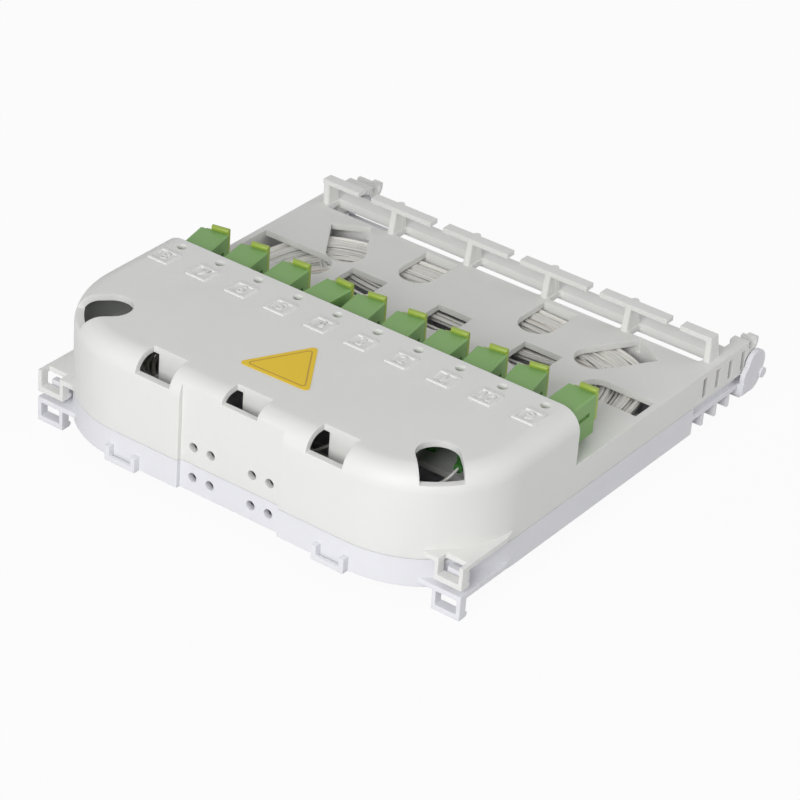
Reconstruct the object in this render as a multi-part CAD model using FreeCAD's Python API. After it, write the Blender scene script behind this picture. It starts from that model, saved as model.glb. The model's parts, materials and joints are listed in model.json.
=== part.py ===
import FreeCAD, Part
import math
import os

os.makedirs("parts", exist_ok=True)

V = FreeCAD.Vector
X = V(1, 0, 0)
Y = V(0, 1, 0)
Z = V(0, 0, 1)

# All sizes are in millimetres
# X runs along the adapter row, Y from the front to the hinge, Z up
# While modelling, Y is 0 at the recessed front panel and Z is 0 under the tray

# Adapters, plugs and dust caps
COUNT = 10
PITCH = 14.0
ROW_SHIFT = 0.9
ADAPTER_YAW = [12.0, 9.4, 5.0, -2.0, 9.0, 9.0, 6.0, 9.6, 11.5, 1.6]
ADAPTER_W = 9.35
ADAPTER_H = 12.65
ADAPTER_L = 27.0
ADAPTER_EDGE = 0.5
PORT_SIDE_T = 0.925
PORT_TOP_T = 1.775
PORT_CLEAR = 0.07
WEB_T = 3.0
SIDE_SLOT_H = 1.3
SIDE_SLOT_RISE = 1.0
SIDE_SLOT_D = 0.7
SIDE_SLOT_END = 2.7
FERRULE_R = 1.25
FERRULE_CLEAR = 0.01
SLEEVE_T = 0.34
SLEEVE_CLEAR = 0.025
SLEEVE_L = 10.8
TUBE_T = 0.975
TUBE_L = 11.0
TUBE_CLEAR = 0.3
PLUG_L = 25.0
PLUG_EDGE = 0.6
GRIP_W = 1.0
GRIP_D = 0.48
GRIP_PITCH = 2.5
BOOT_L = 8.0
BOOT_R = 2.3
BOOT_TIP_R = 1.3
CAP_T = 1.3
CAP_RISE = 5.8
CAP_DROP = 2.7
CAP_EDGE = 1.0
CAP_DEPTH = 9.5
CAP_TAB_W = 5.6
CAP_TAB_RISE = 1.4
CAP_TAB_R = 0.5

# Walls, floors and levels
WALL = 2.0
CORNER_R = 32.0
EDGE_R = 6.5
TRAY_FLOOR = 1.6
TRAY_H = 8.7
SEAM_GAP = 0.1
SKIRT_H = 9.7
PLATE_T = 2.0
SADDLE_H = 1.895
CHEEK_T = 1.3
CHEEK_H = 4.0
SADDLE_L = 6.0
ROOF_GAP = 0.155
ROW_MARGIN = 2.725
NOSE_SPACE = 18.85
PATCH_L = 81.3
TRAY_SHORT = 20.4
HINGE_BACK = 10.3

# Recessed front panel and its holes
PANEL_DEPTH = 1.4
PANEL_EDGE = 4.3
HOLE_R = 1.4
HOLE_IN = 7.1
HOLE_OUT = 13.1
COVER_HOLE_RISE = 5.4
TRAY_HOLE_DROP = 4.1

# Windows and marks of the hood
WINDOW_W = 12.0
WINDOW_PITCH = 29.2
WINDOW_SHIFT = 2.0
WINDOW_DROP = 5.3
MID_WINDOW_DROP = 3.6
TONGUE_W = 8.4
TONGUE_T = 1.6
TONGUE_BACK = 1.5
CORNER_WINDOW_R = 6.0
CORNER_WINDOW_IN = 10.3
CORNER_WINDOW_DROP = 4.0
FRAME_W = 7.0
FRAME_L = 6.8
FRAME_LINE = 0.9
FRAME_RISE = 0.5
FRAME_BACK = 11.4
ROOF_HOLE_R = 1.5
ROOF_HOLE_BACK = 3.6
STICKER_SIDE = 24.0
STICKER_T = 0.15
STICKER_EDGE = 1.2
STICKER_FRONT = 17.0
STICKER_X = 0.6
STICKER_TURN = 2.0

# Plate windows, measured from the rear edge of the plate
REAR_WINDOW_BACK = 14.1
REAR_WINDOW_L = 12.0
REAR_WINDOW_R = 5.8
REAR_WINDOW_X = 21.4
TURNED_WINDOW_R = 6.0
TURNED_WINDOW_L = 17.0
TURNED_WINDOW_IN = 23.4
TURNED_WINDOW_BACK = 23.7
TURNED_WINDOW_DEG = 32.0
FRONT_WINDOW_BACK = 36.7
FRONT_WINDOW_L = 7.0
FRONT_WINDOW_R = 6.5
FRONT_WINDOW_X = 30.9
MID_PLATE_WINDOW_R = 6.0
RIGHT_WINDOW_R = 5.0
RIGHT_WINDOW_W = 16.4
RIGHT_WINDOW_BACK = 39.2
LEFT_WINDOW_R = 7.0
LEFT_WINDOW_W = 21.4
LEFT_WINDOW_BACK = 36.2

# Rear fibre channel
BAR_W = 5.5
BAR_T = 3.0
SLOT_W = 6.6
SLOT_R = 1.2
SLOT_WEB = 2.8
CHANNEL_H = 8.25
BAY = 28.0
POST_T = 2.2
POST_EDGE = 0.8
POST_FOOT = 0.9
END_POST_RIGHT = 3.3
END_POST_LEFT = 4.8
RIB_R = 1.2
LIP_IN = 0.8
LIP_D = 3.6
LIP_T = 1.55
LIP_GAP = 4.5
LIP_GAP_SHIFT = 1.8

# Hinge, ears and stacking clips
PIN_R = 2.0
PIN_CLEAR = 0.05
BOSS_T = 1.75
BOSS_L = 5.0
BOSS_GAP = 0.6
HINGE_RISE = 1.7
PIN_L = 4.8
EAR_GAP = 0.3
EAR_T = 1.5
EAR_RIM = 2.5
EAR_LOW_R = 4.8
EAR_LOW_FORWARD = 1.7
EAR_LOW_DROP = 3.3
KNOB_R = 1.6
KNOB_L = 0.6
KNOB_BACK = 3.5
KNOB_DROP = 4.2
ARM_TOP_W = 3.9
CLIP_FORWARD = 1.0
CLIP_SINK = 1.3
CLIP_T = 1.3
CLIP_FRONT = 4.2
CLIP_TIP_FRONT = 1.5
CLIP_TIP_REAR = 1.5
CLIP_EDGE = 0.8
CLIP_W_RIGHT = 5.2
CLIP_W_LEFT = 8.9
FINGER_W_RIGHT = 3.0
FINGER_W_LEFT = 2.75

# Rear arms: slots of the cover, ledge and fins of the tray
ARM_SLOTS = 4
ARM_SLOT_W = 2.2
ARM_SLOT_PITCH = 6.8
ARM_SLOT_FORWARD = 5.4
ARM_SLOT_LOW = 1.4
ARM_SLOT_HIGH = 2.1
LEDGE_T = 1.6
LEDGE_W_RIGHT = 4.0
LEDGE_W_LEFT = 15.4
RIM_IN = 1.4
RIM_T = 1.4
RIM_GAP = 0.4
RIM_FORWARD = 6.0
FIN_T = 1.2
FIN_PITCH = 6.93
FIN_FORWARD = 4.2
FIN_LIFT = 0.4
BRIDGE_L = 4.7
BRIDGE_FORWARD = 2.0
BRIDGE_T = 3.6

# Corner flanges, latch loops and lugs
FLANGE_T = 1.6
FLANGE_RISE = 1.5
TRAY_FLANGE_RISE = 1.5
FLANGE_FRONT = 6.3
FLANGE_OUT = 1.0
FLANGE_L = 20.0
FLANGE_TAPER = 6.0
FLANGE_REACH = 24.0
LOOP_W = 9.1
LOOP_BAR = 1.2
LOOP_T = 2.8
LOOP_FOOT = 1.7
LOOP_DROP = 5.4
LOOP_HANG = 4.5
LOOP_NOTCH = 3.5
LUG_T = 2.0
LUG_H = 4.5
LUG_GAP = 0.3
LUG_SIDE = 0.4

# Small U-clips on the front of the tray
U_CLIP_X = 36.0
U_CLIP_W = 10.8
U_CLIP_T = 1.6
U_CLIP_OUT = 2.2
U_CLIP_SLOT = 1.0
U_CLIP_H = 4.6

# Fibre stores and splices
FIBRE_R = 0.45
FIBRE_BEND = 5.0
PIGTAIL_SIDES = 6
TAB_T = 1.4
TAB_W = 8.0
TAB_L = 13.4
TAB_SPACE = 4.5
COVER_TAB_Y = [40.0, 74.0, 96.0]
COVER_TAB_X = [-24.0, 0.0, 24.0]
COIL_MARGIN = 1.6
COIL_OVER = 1.75
COIL_H = 2.4
COIL_REAR_R = 36.0
TRAY_TAB_L = 10.4
TRAY_TAB_DROP = 0.3
TRAY_TAB_Y = [46.0, 84.0]
TRAY_TAB_FRONT_X = 28.0
TRAY_TAB_REAR_X = 24.0
TAB_WINDOW_GAP = 0.5
SPLICE_COIL_MARGIN = 2.4
SPLICE_COIL_W = 7.6
SPLICE_COIL_H = 1.2
SPLICE_R = 1.3
SPLICE_L = 45.0
SPLICE_CLEAR = 0.1
HOLDER_W = 48.0
HOLDER_FRONT = 50.0
HOLDER_BASE = 1.0
RIDGE_T = 1.2
RIDGE_W = 4.0
RIDGE_H = 3.6
RIDGE_X = 18.0
SPLITTER_L = 50.0
SPLITTER_W = 7.0
SPLITTER_H = 4.0
SPLITTER_GAP = 7.0

# Small overlap inside one moulding, so that its forms fuse
SINK = 0.5

# Worked out from the sizes above
HALF_W = ((COUNT - 1) * PITCH + ADAPTER_W) / 2 + ROW_MARGIN + WALL
PORT_W = ADAPTER_W - 2 * PORT_SIDE_T
PORT_H = ADAPTER_H - 2 * PORT_TOP_T
PLUG_W = PORT_W - 2 * PORT_CLEAR
PLUG_H = PORT_H - 2 * PORT_CLEAR
SLEEVE_IN_R = FERRULE_R + FERRULE_CLEAR
SLEEVE_R = SLEEVE_IN_R + SLEEVE_T
TUBE_IN_R = SLEEVE_R + SLEEVE_CLEAR
TUBE_R = TUBE_IN_R + TUBE_T
NOSE_BORE_R = TUBE_R + TUBE_CLEAR
PLUG_END = WEB_T / 2 + PLUG_L
BOOT_END = PLUG_END + BOOT_L
FRONT_Y = -PANEL_DEPTH
HOOD_REAR = FRONT_Y + NOSE_SPACE + BOOT_END + FIBRE_BEND + FIBRE_R
PLATE_REAR = HOOD_REAR + PATCH_L
BAR_Y = PLATE_REAR - BAR_W
SKIRT_REAR = BAR_Y - SLOT_W
TRAY_REAR = PLATE_REAR - TRAY_SHORT
HINGE_Y = PLATE_REAR + HINGE_BACK
SEAM_Z = TRAY_H + SEAM_GAP
PLATE_Z = SEAM_Z + SKIRT_H
SEAT_Z = PLATE_Z + SADDLE_H
ADAPTER_Z = SEAT_Z + ADAPTER_H / 2
ROOF_Z = SEAT_Z + ADAPTER_H + ROOF_GAP + WALL
HINGE_Z = SEAM_Z + HINGE_RISE
PANEL_HALF = HOLE_OUT + PANEL_EDGE
PIN_BORE_R = PIN_R + PIN_CLEAR
BOSS_R = PIN_BORE_R + BOSS_T
LEDGE_TOP = HINGE_Z - BOSS_R - BOSS_GAP
EAR_X = HALF_W + EAR_GAP
TONGUE_Y = FRONT_Y + EDGE_R + TONGUE_BACK
TAB_Z = PLATE_Z - PLATE_T - TAB_SPACE
COIL_TOP = TAB_Z + COIL_H
COIL_W = NOSE_SPACE - WALL - COIL_MARGIN + COIL_OVER
FLANGE_Y = FRONT_Y + FLANGE_FRONT
FLANGE_Z = SEAM_Z + FLANGE_RISE
LOOP_X = HALF_W + FLANGE_OUT - LOOP_W
SPLICE_PITCH = 2 * (SPLICE_R + SPLICE_CLEAR) + RIDGE_T
ROW_X = [(k - (COUNT - 1) / 2) * PITCH for k in range(COUNT)]
HOLE_X = [-HOLE_OUT, -HOLE_IN, HOLE_IN, HOLE_OUT]
POST_X = [END_POST_LEFT - HALF_W, -1.5 * BAY, -0.5 * BAY, 0.5 * BAY, 1.5 * BAY, HALF_W - END_POST_RIGHT]

# Base centre of the whole part, which becomes the origin of the files
BASE = V(0, (FRONT_Y - U_CLIP_OUT + HINGE_Y + KNOB_BACK + KNOB_R) / 2, -LOOP_HANG)


def box(x0, x1, y0, y1, z0, z1):
    return Part.makeBox(x1 - x0, y1 - y0, z1 - z0, V(x0, y0, z0))


def rod(x, y, z, r, length, axis):
    return Part.makeCylinder(r, length, V(x, y, z), axis)


def side_box(side, x0, x1, y0, y1, z0, z1):
    # A box given for the right side, or its mirror image on the left
    a, b = sorted((side * x0, side * x1))
    return box(a, b, y0, y1, z0, z1)


def mirrored(shape):
    return shape.mirror(V(0, 0, 0), X)


def outline(inset, y_rear, z):
    # Plan of the mouldings: square rear corners, large round front corners
    half = HALF_W - inset
    front = FRONT_Y + inset
    r = CORNER_R - inset
    cx = HALF_W - CORNER_R
    cy = FRONT_Y + CORNER_R
    s = r * math.sqrt(0.5)
    edges = [
        Part.makeLine(V(-half, y_rear, z), V(-half, cy, z)),
        Part.Arc(V(-half, cy, z), V(-cx - s, cy - s, z), V(-cx, front, z)).toShape(),
        Part.makeLine(V(-cx, front, z), V(cx, front, z)),
        Part.Arc(V(cx, front, z), V(cx + s, cy - s, z), V(half, cy, z)).toShape(),
        Part.makeLine(V(half, cy, z), V(half, y_rear, z)),
        Part.makeLine(V(half, y_rear, z), V(-half, y_rear, z)),
    ]
    return Part.Face(Part.Wire(edges))


def slab(inset, y_rear, z0, z1):
    return outline(inset, y_rear, z0).extrude(V(0, 0, z1 - z0))


def roll_top(shape, z, y_rear, radius):
    # Rounds the top edge all round, apart from the open rear end
    edges = []
    for edge in shape.Edges:
        b = edge.BoundBox
        flat = abs(b.ZMin - z) < 1e-6 and abs(b.ZMax - z) < 1e-6
        rear = b.YMin > y_rear - 1e-6
        if flat and not rear:
            edges.append(edge)
    return shape.makeFillet(radius, edges)


def long_edges(shape, length):
    return [e for e in shape.Edges if abs(e.BoundBox.YLength - length) < 1e-6]


def window(half_w, y0, y1, z0, z1):
    # Plate window with a half-round front end
    return box(-half_w, half_w, y0, y1, z0, z1).fuse(rod(0, y0, z0, half_w, z1 - z0, Z))


def moved(shape, x, y, degrees):
    s = shape.copy()
    s.rotate(V(0, 0, 0), Z, degrees)
    s.translate(V(x, y, 0))
    return s


def seated(shape, k):
    # From the adapter's own axes to its turned place in the row
    s = moved(shape, ROW_X[k] + ROW_SHIFT, HOOD_REAR, ADAPTER_YAW[k])
    s.translate(V(0, 0, ADAPTER_Z))
    return s


def loop(z_low, z_top):
    # Right-hand latch loop: two bars and a foot with a round nose to the rear
    x1 = LOOP_X + LOOP_W
    rear = FLANGE_Y + LOOP_T
    frame = box(LOOP_X, x1, FLANGE_Y, rear, z_low, z_top)
    frame = frame.cut(box(LOOP_X + LOOP_BAR, x1 - LOOP_BAR, FLANGE_Y - 1, rear + 1,
                          z_low + LOOP_FOOT, z_top + 1))
    nose_r = LOOP_FOOT / 2
    return frame.fuse(rod(LOOP_X, rear, z_low + nose_r, nose_r, LOOP_W, X))


def flange(z0, thick):
    # Right-hand corner flange: straight outer edge, then a taper back to the wall
    x_out = HALF_W + FLANGE_OUT
    x_wall = HALF_W - SINK
    x_in = x_out - FLANGE_REACH
    rear = FLANGE_Y + FLANGE_L
    points = [(x_out, FLANGE_Y), (x_out, rear), (x_wall, rear + FLANGE_TAPER), (x_in, rear + FLANGE_TAPER)]
    points.append((x_in, FLANGE_Y))
    wire = Part.makePolygon([V(x, y, z0) for x, y in points + points[:1]])
    return Part.Face(wire).extrude(V(0, 0, thick))


def ring(margin, width, y_rear, rear_r, z0, height):
    # Turns of fibre laid round inside a wall, as one bundle
    solids = []
    for inset in (WALL + margin, WALL + margin + width):
        s = slab(inset, y_rear - inset + WALL, z0, z0 + height)
        rear = [e for e in s.Edges if e.BoundBox.ZLength > height / 2 and e.BoundBox.YMin > y_rear / 2]
        solids.append(s.makeFillet(rear_r - inset + WALL, rear))
    return solids[0].cut(solids[1])


def make_hood():
    hood = slab(0, HOOD_REAR, PLATE_Z - PLATE_T, ROOF_Z)
    hood = roll_top(hood, ROOF_Z, HOOD_REAR, EDGE_R)
    inner_rear = HOOD_REAR + ADAPTER_L
    hollow = slab(WALL, inner_rear, PLATE_Z - 2 * PLATE_T, ROOF_Z - WALL)
    hollow = roll_top(hollow, ROOF_Z - WALL, inner_rear, EDGE_R - WALL)
    hood = hood.cut(hollow)

    # Relief where an end adapter meets the inside of the rolled edge
    half = ADAPTER_W / 2 + ROOF_GAP
    high = ADAPTER_H / 2
    relief = box(-half, half, -ADAPTER_L / 2 - ROOF_GAP, SADDLE_L, -high, high + ROOF_GAP)
    for k in range(COUNT):
        hood = hood.cut(seated(relief, k))
    return hood


def hood_parts():
    parts = []
    panel = PANEL_HALF + WALL
    parts.append(box(-panel, panel, FRONT_Y + WALL - SINK, WALL, SEAM_Z, ROOF_Z - EDGE_R / 2 - SINK))

    # Tongues behind the three front windows
    for i in (-1, 0, 1):
        x = WINDOW_SHIFT + i * WINDOW_PITCH
        parts.append(box(x - TONGUE_W / 2, x + TONGUE_W / 2, TONGUE_Y, TONGUE_Y + TONGUE_T,
                         PLATE_Z + PLATE_T, ROOF_Z - WALL / 2))

    # Saddles with cheeks under the adapters
    half = ADAPTER_W / 2
    seat = -ADAPTER_H / 2
    low = PLATE_Z - SINK - ADAPTER_Z
    saddle = box(-half - CHEEK_T, half + CHEEK_T, SINK - SADDLE_L, SINK, low, seat + CHEEK_H)
    saddle = saddle.cut(box(-half, half, -SADDLE_L, SADDLE_L, seat, seat + 2 * CHEEK_H))
    parts.extend(seated(saddle, k) for k in range(COUNT))

    # Raised frames for the port numbers
    y = HOOD_REAR - FRAME_BACK
    w = FRAME_W / 2
    d = FRAME_L / 2
    low = ROOF_Z - SINK
    mark = box(-w, w, y - d, y + d, low, ROOF_Z + FRAME_RISE)
    mark = mark.cut(box(FRAME_LINE - w, w - FRAME_LINE, y - d + FRAME_LINE, y + d - FRAME_LINE,
                        low - 1, ROOF_Z + FRAME_RISE + 1))
    parts.extend(moved(mark, x, 0, 0) for x in ROW_X)
    return parts


def hood_cuts():
    top = ROOF_Z + FRAME_RISE + 1
    cuts = [box(-PANEL_HALF, PANEL_HALF, 2 * FRONT_Y, 0, SEAM_Z - 1, top)]
    for i, drop in ((-1, WINDOW_DROP), (0, MID_WINDOW_DROP), (1, WINDOW_DROP)):
        x = WINDOW_SHIFT + i * WINDOW_PITCH
        cuts.append(box(x - WINDOW_W / 2, x + WINDOW_W / 2, 2 * FRONT_Y, TONGUE_Y, ROOF_Z - drop, top))

    # Corner windows run out through the rolled edge at 45 degrees
    reach = (CORNER_R - CORNER_WINDOW_IN) * math.sqrt(0.5)
    z0 = ROOF_Z - CORNER_WINDOW_DROP
    corner = rod(0, 0, z0, CORNER_WINDOW_R, top - z0, Z)
    corner = corner.fuse(box(-CORNER_WINDOW_R, CORNER_WINDOW_R, -2 * CORNER_WINDOW_IN, 0, z0, top))
    for side in (1, -1):
        x = HALF_W - CORNER_R + reach
        y = FRONT_Y + CORNER_R - reach
        cuts.append(moved(corner, side * x, y, side * 45))

    for x in ROW_X:
        cuts.append(rod(x, HOOD_REAR - ROOF_HOLE_BACK, ROOF_Z - 2 * WALL, ROOF_HOLE_R, 3 * WALL, Z))
    for x in HOLE_X:
        cuts.append(rod(x, 2 * FRONT_Y, SEAM_Z + COVER_HOLE_RISE, HOLE_R, 2 * WALL - 2 * FRONT_Y, Y))
    return cuts


def plate_parts():
    skirt = slab(0, SKIRT_REAR, SEAM_Z, PLATE_Z)
    skirt = skirt.cut(slab(WALL, SKIRT_REAR - WALL, SEAM_Z - 1, PLATE_Z + 1))
    plate = slab(0, PLATE_REAR, PLATE_Z - PLATE_T, PLATE_Z)
    plate = plate.cut(slab(WALL, FRONT_Y + CORNER_R + SINK, PLATE_Z - 2 * PLATE_T, PLATE_Z + PLATE_T))
    parts = [skirt, plate]

    # Tabs below the plate that carry the patch fibres
    inner = HALF_W - WALL
    for y in COVER_TAB_Y:
        for side in (1, -1):
            parts.append(side_box(side, inner - TAB_L, inner + SINK, y - TAB_W / 2, y + TAB_W / 2,
                                  TAB_Z - TAB_T, TAB_Z))
    rear = SKIRT_REAR - WALL
    for x in COVER_TAB_X:
        parts.append(box(x - TAB_W / 2, x + TAB_W / 2, rear - TAB_L, rear + SINK, TAB_Z - TAB_T, TAB_Z))
    return parts


def plate_cuts():
    z0 = PLATE_Z - 2 * PLATE_T
    z1 = PLATE_Z + PLATE_T
    inner = HALF_W - WALL
    rear_end = PLATE_REAR - REAR_WINDOW_BACK
    front_end = PLATE_REAR - FRONT_WINDOW_BACK
    front = front_end - FRONT_WINDOW_L
    rear_window = window(REAR_WINDOW_R, rear_end - REAR_WINDOW_L, rear_end, z0, z1)
    front_window = window(FRONT_WINDOW_R, front, front_end, z0, z1)
    turned_window = window(TURNED_WINDOW_R, -TURNED_WINDOW_L / 2, TURNED_WINDOW_L / 2, z0, z1)
    turned_x = HALF_W - TURNED_WINDOW_IN
    turned_y = PLATE_REAR - TURNED_WINDOW_BACK
    cuts = [window(MID_PLATE_WINDOW_R, front, front_end, z0, z1)]
    for side in (1, -1):
        cuts.append(moved(turned_window, side * turned_x, turned_y, -side * TURNED_WINDOW_DEG))
        cuts.append(moved(rear_window, side * REAR_WINDOW_X, 0, 0))
        cuts.append(moved(front_window, side * FRONT_WINDOW_X, 0, 0))

    # Side windows, shorter on the right
    for side, r, w, back in ((1, RIGHT_WINDOW_R, RIGHT_WINDOW_W, RIGHT_WINDOW_BACK),
                             (-1, LEFT_WINDOW_R, LEFT_WINDOW_W, LEFT_WINDOW_BACK)):
        end = PLATE_REAR - back
        cuts.append(side_box(side, inner - w, inner, end - 2 * r, end, z0, z1))
        cuts.append(rod(side * (inner - w), end - r, z0, r, z1 - z0, Z))
    return cuts


def make_post(foot):
    # Tapered post from the plate's edge back to the bar, with its front edges rounded
    low = PLATE_Z - SINK
    top = PLATE_Z + CHANNEL_H
    lip_y = SKIRT_REAR + LIP_IN
    side = [(lip_y - foot, low), (lip_y, top), (lip_y + LIP_D, top), (BAR_Y, low)]
    wire = Part.makePolygon([V(-POST_T / 2, y, z) for y, z in side + side[:1]])
    post = Part.Face(wire).extrude(V(POST_T, 0, 0))
    front = []
    for edge in post.Edges:
        b = edge.BoundBox
        if b.ZLength > CHANNEL_H and b.YMax < lip_y + 1e-6:
            front.append(edge)
    return post.makeFillet(POST_EDGE, front)


def channel_parts():
    # Bar behind the floor slots, posts with a rib at the back, and lips with a gap in each bay
    top = PLATE_Z + CHANNEL_H
    lip_y = SKIRT_REAR + LIP_IN
    ends = (POST_X[0], POST_X[-1])
    parts = [box(ends[0], ends[1], BAR_Y, PLATE_REAR, PLATE_Z - BAR_T, PLATE_Z)]
    for x in POST_X:
        inner = x not in ends
        parts.append(moved(make_post(LIP_IN + POST_FOOT if inner else 0), x, 0, 0))
        if inner:
            parts.append(rod(x, lip_y + LIP_D, PLATE_Z - SINK, RIB_R, CHANNEL_H + SINK, Z))
    half = POST_T / 2
    middles = [(a + b) / 2 + LIP_GAP_SHIFT for a, b in zip(POST_X[:-1], POST_X[1:])]
    starts = [ends[0] - half] + [m + LIP_GAP / 2 for m in middles]
    stops = [m - LIP_GAP / 2 for m in middles] + [ends[1] + half]
    for a, b in zip(starts, stops):
        parts.append(box(a, b, lip_y, lip_y + LIP_D, top - LIP_T, top))
    return parts


def channel_cuts():
    # Round-ended floor slots below the lips, with a web left under each post
    cuts = []
    for a, b in zip(POST_X[:-1], POST_X[1:]):
        slot = box(a + SLOT_WEB / 2, b - SLOT_WEB / 2, SKIRT_REAR, BAR_Y,
                   PLATE_Z - 2 * PLATE_T, PLATE_Z + SINK)
        upright = [e for e in slot.Edges if e.BoundBox.ZLength > PLATE_T]
        cuts.append(slot.makeFillet(SLOT_R, upright))
    return cuts


def make_arm(clip_w, finger0, finger1):
    # Right-hand rear arm of the cover with hinge boss and a clip whose rear finger is narrower
    clip_y = HINGE_Y - CLIP_FORWARD
    clip_z = PLATE_Z - CLIP_SINK
    clip_r = PIN_BORE_R + CLIP_T
    front_y = clip_y - CLIP_FRONT
    rear_y = clip_y + clip_r
    x0 = HALF_W - clip_w
    arm = box(HALF_W - WALL, HALF_W, SKIRT_REAR - WALL, HINGE_Y - PIN_R, SEAM_Z, PLATE_Z)
    arm = arm.fuse(box(HALF_W - ARM_TOP_W, HALF_W, PLATE_REAR - SINK, clip_y, PLATE_Z - PLATE_T, PLATE_Z))
    arm = arm.fuse(rod(HALF_W - BOSS_L, HINGE_Y, HINGE_Z, BOSS_R, BOSS_L, X))

    rear = box(x0, HALF_W, clip_y, rear_y, clip_z, PLATE_Z)
    top_rear = []
    for edge in rear.Edges:
        b = edge.BoundBox
        if b.YMin > rear_y - SINK and b.ZMin > PLATE_Z - SINK:
            top_rear.append(edge)
    clip = rear.makeFillet(CLIP_EDGE, top_rear)
    clip = clip.fuse(box(x0, HALF_W, front_y, clip_y, PLATE_Z - PLATE_T, PLATE_Z))
    round_part = rod(x0, clip_y, clip_z, clip_r, clip_w, X)
    clip = clip.fuse(round_part.common(box(x0, HALF_W, front_y, rear_y, SEAM_Z, clip_z)))
    clip = clip.fuse(round_part.common(box(x0, HALF_W, front_y, clip_y, SEAM_Z, PLATE_Z)))
    arm = arm.fuse(clip)
    arm = arm.cut(rod(x0 - 1, clip_y, clip_z, PIN_BORE_R, clip_w + 2, X))
    high = PLATE_Z + 1
    arm = arm.cut(box(x0 - 1, HALF_W + 1, clip_y - CLIP_TIP_FRONT, clip_y + CLIP_TIP_REAR, clip_z, high))
    for a, b in ((x0 - 1, finger0), (finger1, HALF_W + 1)):
        if b - a > 1 + SINK:
            arm = arm.cut(box(a, b, clip_y, rear_y + 1, clip_z, high))
    arm = arm.cut(rod(HALF_W - BOSS_L - 1, HINGE_Y, HINGE_Z, PIN_BORE_R, BOSS_L + 2, X))
    for i in range(ARM_SLOTS):
        y = HINGE_Y - ARM_SLOT_FORWARD - i * ARM_SLOT_PITCH
        arm = arm.cut(arm_slot(y))
    return arm


def arm_slot(y):
    half = ARM_SLOT_W / 2
    return box(HALF_W - WALL - SINK, HALF_W + 1, y - half, y + half,
               SEAM_Z + ARM_SLOT_LOW, PLATE_Z - ARM_SLOT_HIGH)


def make_cover():
    parts = hood_parts() + plate_parts() + channel_parts()
    left_end = HALF_W - CLIP_W_LEFT
    parts.append(make_arm(CLIP_W_RIGHT, HALF_W - FINGER_W_RIGHT, HALF_W))
    parts.append(mirrored(make_arm(CLIP_W_LEFT, left_end, left_end + FINGER_W_LEFT)))
    leaf = flange(FLANGE_Z, FLANGE_T)
    leaf = leaf.cut(slab(WALL, PLATE_REAR, FLANGE_Z - 1, FLANGE_Z + 2 * FLANGE_T))
    leaf = leaf.cut(box(LOOP_X + LOOP_BAR, LOOP_X + LOOP_W - LOOP_BAR, FLANGE_Y - 1, FLANGE_Y + LOOP_NOTCH,
                        FLANGE_Z - 1, FLANGE_Z + 2 * FLANGE_T))
    leaf = leaf.fuse(loop(FLANGE_Z - LOOP_DROP, FLANGE_Z + FLANGE_T))
    parts.extend([leaf, mirrored(leaf)])
    cover = make_hood().multiFuse(parts)
    cuts = hood_cuts() + plate_cuts() + channel_cuts()
    for i in range(ARM_SLOTS):
        slot = arm_slot(HINGE_Y - ARM_SLOT_FORWARD - i * ARM_SLOT_PITCH)
        cuts.extend([slot, mirrored(slot)])
    for c in cuts:
        cover = cover.cut(c)
    return cover.removeSplitter()


def make_tray_arm(ledge_w):
    # Right-hand rear arm of the tray: ledge, rim, fins, ear, hinge pin and knob
    arm = box(HALF_W - ledge_w, HALF_W, TRAY_REAR - WALL / 2, HINGE_Y - BRIDGE_FORWARD,
              LEDGE_TOP - LEDGE_T, LEDGE_TOP)
    rim_x = HALF_W - RIM_IN
    arm = arm.fuse(box(rim_x - RIM_T, rim_x, TRAY_REAR - WALL / 2, HINGE_Y - RIM_FORWARD,
                       LEDGE_TOP - LEDGE_T, SEAM_Z - RIM_GAP))
    for i in range(ARM_SLOTS):
        y = HINGE_Y - FIN_FORWARD - i * FIN_PITCH
        arm = arm.fuse(box(HALF_W - LEDGE_W_RIGHT, HALF_W, y - FIN_T / 2, y + FIN_T / 2,
                           FIN_LIFT, LEDGE_TOP - SINK))
    bridge_y = HINGE_Y - BRIDGE_FORWARD
    arm = arm.fuse(box(HALF_W - LEDGE_W_RIGHT, EAR_X + EAR_T, bridge_y - BRIDGE_L, bridge_y,
                       LEDGE_TOP - BRIDGE_T, LEDGE_TOP))
    ear = rod(EAR_X, HINGE_Y - EAR_LOW_FORWARD, HINGE_Z - EAR_LOW_DROP, EAR_LOW_R, EAR_T, X)
    ear = ear.fuse(rod(EAR_X, HINGE_Y, HINGE_Z, PIN_R + EAR_RIM, EAR_T, X))
    ear = ear.fuse(rod(EAR_X, HINGE_Y + KNOB_BACK, HINGE_Z - KNOB_DROP, KNOB_R, EAR_T + KNOB_L, X))
    pin_x = HALF_W - PIN_L
    ear = ear.fuse(rod(pin_x, HINGE_Y, HINGE_Z, PIN_R, EAR_X + EAR_T - pin_x, X))
    return arm.fuse(ear)


def tray_tabs():
    # Plan of each tab that keeps the fibres down: x0, x1, y0, y1
    inner = HALF_W - WALL
    w = TAB_W / 2
    front = FRONT_Y + WALL - SINK
    rear = TRAY_REAR - WALL + SINK
    tabs = []
    for side in (1, -1):
        x0, x1 = sorted((side * (inner - TRAY_TAB_L), side * (inner + SINK)))
        tabs.extend((x0, x1, y - w, y + w) for y in TRAY_TAB_Y)
        x = side * TRAY_TAB_FRONT_X
        tabs.append((x - w, x + w, front, front + TRAY_TAB_L + SINK))
        x = side * TRAY_TAB_REAR_X
        tabs.append((x - w, x + w, rear - TRAY_TAB_L - SINK, rear))
    return tabs


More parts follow.
